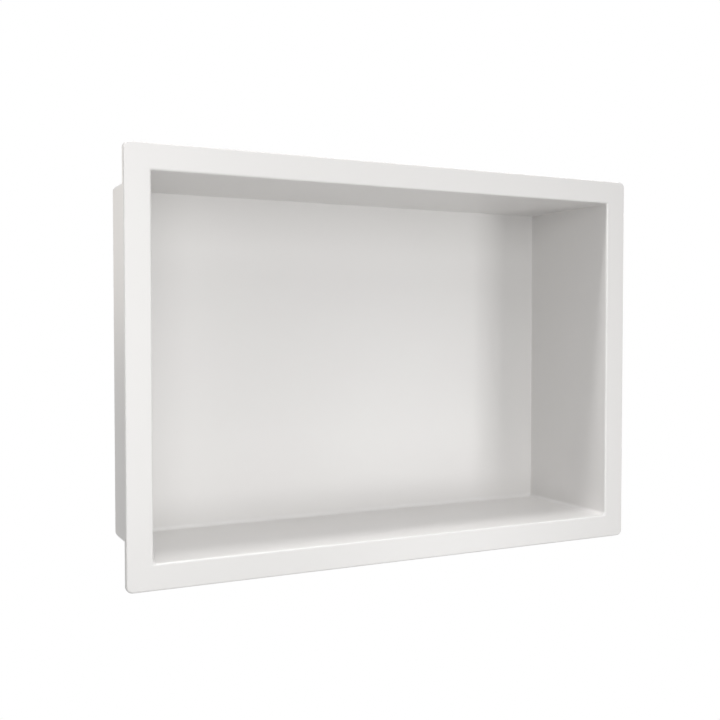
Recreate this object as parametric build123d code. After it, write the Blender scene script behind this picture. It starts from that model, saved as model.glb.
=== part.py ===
from build123d import *
import math
import os

# Shower niche insert: one moulded shell, a picture-frame flange round a shelf recess with five walls.
# It drops into a hole cut in a tiled wall, and the back of the flange is bonded to the tile.
# Millimetres. The origin is the middle of the flange's back face, in the plane of the tile.
# +X runs to the right, +Y into the wall and +Z up, so the mouth faces -Y.

# Flange
flange_width = 410.0
flange_height = 290.0
flange_thickness = 3.5
flange_bar = 18.0  # outer edge to recess wall, in the plane of the face
flange_corner_radius = 4.5  # seen from the front
flange_edge_radius = 1.2  # round on the outer front edge
flange_land = 0.5  # least straight edge left behind that round

# Recess
recess_depth = 100.0  # flange face to back wall
wall = 2.5
draft_angle = 0.25  # degrees: every wall leans out to the mouth, so the moulding comes off its core
mouth_radius = 1.5  # round from the flange face into the recess
cove_radius = 3.0  # floor into the back and side walls
crease_radius = 0.5  # the other inside edges
root_radius = 1.0  # outside of the recess into the back of the flange

# Places that follow from these
face_y = -flange_thickness
back_wall_y = face_y + recess_depth
draft_slope = math.tan(math.radians(draft_angle))
mouth_width = flange_width - 2 * flange_bar
mouth_height = flange_height - 2 * flange_bar


def block(width, height, start_y, end_y, slope=0.0):
    """A rectangular block from start_y back to end_y, whose four sides close in by the slope."""
    inset = (end_y - start_y) * slope

    def wedge(section_plane, span, across):
        half = span / 2
        outline = Polyline(
            (start_y, -half), (end_y, inset - half), (end_y, half - inset), (start_y, half), close=True
        )
        return extrude(section_plane * make_face(outline), across, both=True)

    plan = wedge(Plane(origin=(0, 0, 0), x_dir=(0, 1, 0), z_dir=(0, 0, 1)), width, height)
    elevation = wedge(Plane(origin=(0, 0, 0), x_dir=(0, 1, 0), z_dir=(1, 0, 0)), height, width)
    return plan & elevation


def runs_back(edge):
    """True for an edge that runs front to back, drafted or not."""
    run = edge @ 1 - edge @ 0
    return abs(run.Y) > max(abs(run.X), abs(run.Z))


def cross_faces(shape):
    """The flat faces square to the depth, from front to rear."""
    return shape.faces().filter_by(Axis.Y).sort_by(Axis.Y)


def round_recess(shape, guide, floor_radius, other_radius):
    """Rounds the edges of shape that lie on the guide block's edges, the three along the floor last."""
    rear = cross_faces(guide)[-1].edges().sort_by(Axis.Z)
    sides = guide.edges().filter_by(runs_back).sort_by(Axis.Z)
    floor_edges = [rear[0], *sides[:2]]
    other_edges = [*rear[1:], *sides[2:]]
    for guide_edges, radius in ((other_edges, other_radius), (floor_edges, floor_radius)):
        found = [shape.edges().sort_by_distance(edge.center())[0] for edge in guide_edges]
        shape = fillet(found, radius)
    return shape


def make_flange():
    """A flat plate with round corners and a round outer front edge."""
    plate = block(flange_width, flange_height, face_y, 0.0)
    plate = fillet(plate.edges().filter_by(Axis.Y), flange_corner_radius)
    edge_round = min(flange_edge_radius, flange_thickness - flange_land)
    return fillet(cross_faces(plate)[0].edges(), edge_round)


def make_outer_box(hollow_width, hollow_height):
    """The outside of the recess behind the flange, one wall larger than the hollow all round."""
    growth = 2 * (wall - flange_thickness * draft_slope)
    box = block(hollow_width + growth, hollow_height + growth, 0.0, back_wall_y + wall, draft_slope)
    return round_recess(box, box, cove_radius + wall, crease_radius + wall)


def make_niche():
    """Flange and box in one, hollowed out, with its edges rounded as the mould leaves them."""
    hollow = block(mouth_width, mouth_height, face_y, back_wall_y, draft_slope)
    niche = make_flange() + make_outer_box(mouth_width, mouth_height) - hollow

    # The mouth is rounded first, with mitred corners, so the coves run out along the mitres to the face
    niche = fillet(cross_faces(niche)[0].inner_wires()[0].edges(), mouth_radius)
    niche = round_recess(niche, hollow, cove_radius, crease_radius)

    flange_back = cross_faces(niche)[1]
    return fillet(flange_back.inner_wires()[0].edges(), root_radius)


os.makedirs("parts", exist_ok=True)
export_step(make_niche(), "parts/niche_insert.step")
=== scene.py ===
import math
import bpy
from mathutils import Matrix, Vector


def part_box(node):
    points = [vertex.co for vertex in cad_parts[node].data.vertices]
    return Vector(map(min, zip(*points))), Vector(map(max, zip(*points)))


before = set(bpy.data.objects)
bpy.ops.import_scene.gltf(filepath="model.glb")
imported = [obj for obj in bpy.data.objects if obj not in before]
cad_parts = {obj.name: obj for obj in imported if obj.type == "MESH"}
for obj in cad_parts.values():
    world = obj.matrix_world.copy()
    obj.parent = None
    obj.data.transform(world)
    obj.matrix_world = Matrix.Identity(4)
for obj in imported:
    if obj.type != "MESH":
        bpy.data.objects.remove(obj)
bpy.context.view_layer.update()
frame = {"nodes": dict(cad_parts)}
shell = frame["nodes"]["niche_insert"]
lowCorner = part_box("niche_insert")[0]
scene = bpy.context.scene
scene.view_settings.view_transform = "Standard"
print("frame loaded:", ", ".join(frame["nodes"]))


def linear(hexText):
    channels = [int(hexText[i:i + 2], 16) / 255 for i in (1, 3, 5)]
    return [c / 12.92 if c <= 0.04045 else ((c + 0.055) / 1.055) ** 2.4 for c in channels] + [1.0]


# a setting is one of the node's properties or inputs; inputs that share a name go by number
def addNode(tree, kind, settings=None, links=None):
    node = tree.nodes.new(kind)
    for key, value in (settings or {}).items():
        if hasattr(node, str(key)):
            setattr(node, key, value)
        else:
            node.inputs[key].default_value = value
    for key, source in (links or {}).items():
        tree.links.new(source, node.inputs[key])
    return node


# the moulded shell, lengths in metres
niche = {
    "colour": "#d8d7d5",  # titanium white ABS, a trace warm
    "cloud": "#d8d6d5",  # where the melt ran last
    "cloudSize": 0.060,
    "cloudDetail": 2.0,
    "roughness": (0.32, 0.36),
    "ior": 1.52,
    "grainSize": 0.0006,  # really 0.15 mm, drawn coarser so that it holds at this picture size
    "grainDetail": 1.0,
    "grainDepth": 0.000004,
    "seam": 0.00001,  # points closer than this are welded
    "softAngle": math.radians(22),  # an edge that turns less than this is shaded as round
    "flatWeight": 80,  # how firmly the flats keep their own normals beside the rounds
}

# the mesh comes face by face, so the seams are welded and the rounds run into the flats
smoothing = bpy.data.node_groups.new("smoothShell", "GeometryNodeTree")
smoothing.interface.new_socket("Shell", in_out="INPUT", socket_type="NodeSocketGeometry")
smoothing.interface.new_socket("Shell", in_out="OUTPUT", socket_type="NodeSocketGeometry")
shellIn = addNode(smoothing, "NodeGroupInput")
welded = addNode(smoothing, "GeometryNodeMergeByDistance",
                 {"Distance": niche["seam"]}, {"Geometry": shellIn.outputs[0]})
soft = addNode(smoothing, "GeometryNodeSetShadeSmooth",
               {"domain": "FACE"}, {"Geometry": welded.outputs[0]})
fold = addNode(smoothing, "GeometryNodeInputMeshEdgeAngle")
gentle = addNode(smoothing, "FunctionNodeCompare",
                 {"operation": "LESS_THAN", 1: niche["softAngle"]}, {0: fold.outputs["Unsigned Angle"]})
creased = addNode(smoothing, "GeometryNodeSetShadeSmooth",
                  {"domain": "EDGE"}, {"Geometry": soft.outputs[0], "Shade Smooth": gentle.outputs[0]})
addNode(smoothing, "NodeGroupOutput", {}, {0: creased.outputs[0]})
shell.modifiers.new("smoothShell", "NODES").node_group = smoothing
flatsLead = shell.modifiers.new("flatsLead", "WEIGHTED_NORMAL")
flatsLead.keep_sharp = True
flatsLead.weight = niche["flatWeight"]
print("shell smoothed")

# injection moulded ABS off a spark-eroded tool:
# a satin skin that shows lamps as wide soft sheens, not as mirrors
satin = bpy.data.materials.new("white_abs_spark_moulded")
satin.use_nodes = True
tree = satin.node_tree
skin = tree.nodes["Principled BSDF"]
skin.inputs["IOR"].default_value = niche["ior"]
place = addNode(tree, "ShaderNodeTexCoord")
cloud = addNode(tree, "ShaderNodeTexNoise",
                {"Scale": 1 / niche["cloudSize"], "Detail": niche["cloudDetail"]},
                {"Vector": place.outputs["Object"]})
tint = addNode(tree, "ShaderNodeMix",
               {"data_type": "RGBA", 6: linear(niche["colour"]), 7: linear(niche["cloud"])},
               {0: cloud.outputs["Fac"]})
tree.links.new(tint.outputs[2], skin.inputs["Base Color"])
sheen = addNode(tree, "ShaderNodeMapRange",
                {"To Min": niche["roughness"][0], "To Max": niche["roughness"][1]},
                {"Value": cloud.outputs["Fac"]})
tree.links.new(sheen.outputs["Result"], skin.inputs["Roughness"])
grain = addNode(tree, "ShaderNodeTexNoise",
                {"Scale": 1 / niche["grainSize"], "Detail": niche["grainDetail"]},
                {"Vector": place.outputs["Object"]})
bump = addNode(tree, "ShaderNodeBump",
               {"Distance": niche["grainDepth"]}, {"Height": grain.outputs["Fac"]})
tree.links.new(bump.outputs["Normal"], skin.inputs["Normal"])
shell.data.materials.clear()
shell.data.materials.append(satin)
print("material made:", satin.name)

# pale floor at the height that a niche hangs above it, fading out into the white around it
floor = {
    "drop": 1.1,
    "radius": 1.6,
    "corners": 96,
    "colour": "#f2f2f0",
    "roughness": 0.8,
    "solidShare": 0.4,  # of the radius, before the fade
}
bpy.ops.mesh.primitive_circle_add(vertices=floor["corners"], radius=floor["radius"], fill_type="NGON",
                                  location=(0, 0, lowCorner.z - floor["drop"]))
ground = bpy.context.object
ground.name = "floor"
painted = bpy.data.materials.new("matt_painted_floor")  # no sheen, so it takes only the soft shadow
painted.use_nodes = True
tree = painted.node_tree
matt = tree.nodes["Principled BSDF"]
matt.inputs["Base Color"].default_value = linear(floor["colour"])
matt.inputs["Roughness"].default_value = floor["roughness"]
place = addNode(tree, "ShaderNodeTexCoord")
away = addNode(tree, "ShaderNodeVectorMath", {"operation": "LENGTH"}, {0: place.outputs["Object"]})
fade = addNode(tree, "ShaderNodeMapRange",
               {"From Min": floor["solidShare"] * floor["radius"], "From Max": floor["radius"],
                "To Min": 1.0, "To Max": 0.0},  # solid in the middle, clear at the rim
               {"Value": away.outputs["Value"]})
tree.links.new(fade.outputs["Result"], matt.inputs["Alpha"])
ground.data.materials.append(painted)
print("floor laid")

# white around it for the eye and for reflections, a dimmer even light for everything else
room = {"white": "#ffffff", "fill": 0.15}
world = bpy.data.worlds.new("studio")
world.use_nodes = True
scene.world = world
tree = world.node_tree
around = tree.nodes["Background"]
around.inputs["Color"].default_value = linear(room["white"])
ray = addNode(tree, "ShaderNodeLightPath")
mirrored = addNode(tree, "ShaderNodeMath", {"operation": "MAXIMUM"},
                   {0: ray.outputs["Is Glossy Ray"], 1: ray.outputs["Is Transmission Ray"]})
seen = addNode(tree, "ShaderNodeMath", {"operation": "MAXIMUM"},
               {0: ray.outputs["Is Camera Ray"], 1: mirrored.outputs[0]})
level = addNode(tree, "ShaderNodeMapRange", {"To Min": room["fill"]}, {"Value": seen.outputs[0]})
tree.links.new(level.outputs["Result"], around.inputs["Strength"])
print("room made:", world.name)

# soft boxes and strips, in metres and watts
lamps = {
    "keyBox": {  # in front, left of the middle
        "at": (-0.27, -0.75, 0.05), "to": (-0.27, 0, 0.05),
        "size": (0.67, 0.77), "watts": 4.45, "colour": "#ffffff",
    },
    "rightBox": {  # low on the right, reaches the back wall from below
        "at": (0.64, -0.95, -0.32), "to": (0.64, 0, -0.32),
        "size": (0.34, 0.88), "watts": 4.4, "colour": "#ffffff",
    },
    "topBox": {  # high in front, for the floor of the recess
        "at": (-0.20, -1.37, 1.8), "to": (-0.20, -1.37, 0),
        "size": (0.33, 2.5), "watts": 23.0, "colour": "#ffffff",
    },
    "flangeStrip": {  # straight above the face, draws the bright line along the lower mouth
        "at": (-0.22, -0.15, 1.8), "to": (-0.22, -0.15, 0),
        "size": (0.63, 0.19), "watts": 12.0, "colour": "#ffffff",
    },
    "leftStrip": {  # high on the left, for the left rim and the front of the right wall
        "at": (-1.1, -0.08, 1.1), "to": (0.1, -0.08, 0),
        "size": (0.10, 0.60), "watts": 5.0, "colour": "#ffffff",
    },
    "leftRearBox": {  # a warm sheen down the outside of the left wall
        "at": (-1.1, 1.74, 0.34), "to": (0, 1.74, 0.34),
        "size": (0.80, 0.63), "watts": 12.5, "colour": "#fff7ed",
    },
    "rightRearBox": {  # the back and the right side
        "at": (0.90, 1.00, 0.50), "to": (0.19, 0.05, 0),
        "size": (0.90, 0.90), "watts": 14.0, "colour": "#ffffff",
    },
}
for name, lamp in lamps.items():
    light = bpy.data.lights.new(name, "AREA")
    light.shape = "RECTANGLE"
    light.size, light.size_y = lamp["size"]
    light.energy = lamp["watts"]
    light.color = linear(lamp["colour"])[:3]
    box = bpy.data.objects.new(name, light)
    box.location = lamp["at"]
    facing = Vector(lamp["to"]) - Vector(lamp["at"])
    box.rotation_euler = facing.to_track_quat("-Z", "Y").to_euler()
    box.visible_camera = False
    scene.collection.objects.link(box)
print("lamps placed:", ", ".join(lamps))

# the eye stands left of the niche, a little above its middle
view = {
    "at": (-0.3538, -0.6319, 0.0252),
    "turn": 26.73,  # degrees to the right
    "dip": 1.79,  # degrees down
    "lens": 49.4,
    "sensor": 36,
    "nearest": 0.01,
}
camera = bpy.data.objects.new("eye", bpy.data.cameras.new("eye"))
camera.data.sensor_width = view["sensor"]
camera.data.lens = view["lens"]
camera.data.clip_start = view["nearest"]
camera.location = view["at"]
camera.rotation_euler = (math.radians(90 - view["dip"]), 0, math.radians(-view["turn"]))
scene.collection.objects.link(camera)
scene.camera = camera
print("camera set")
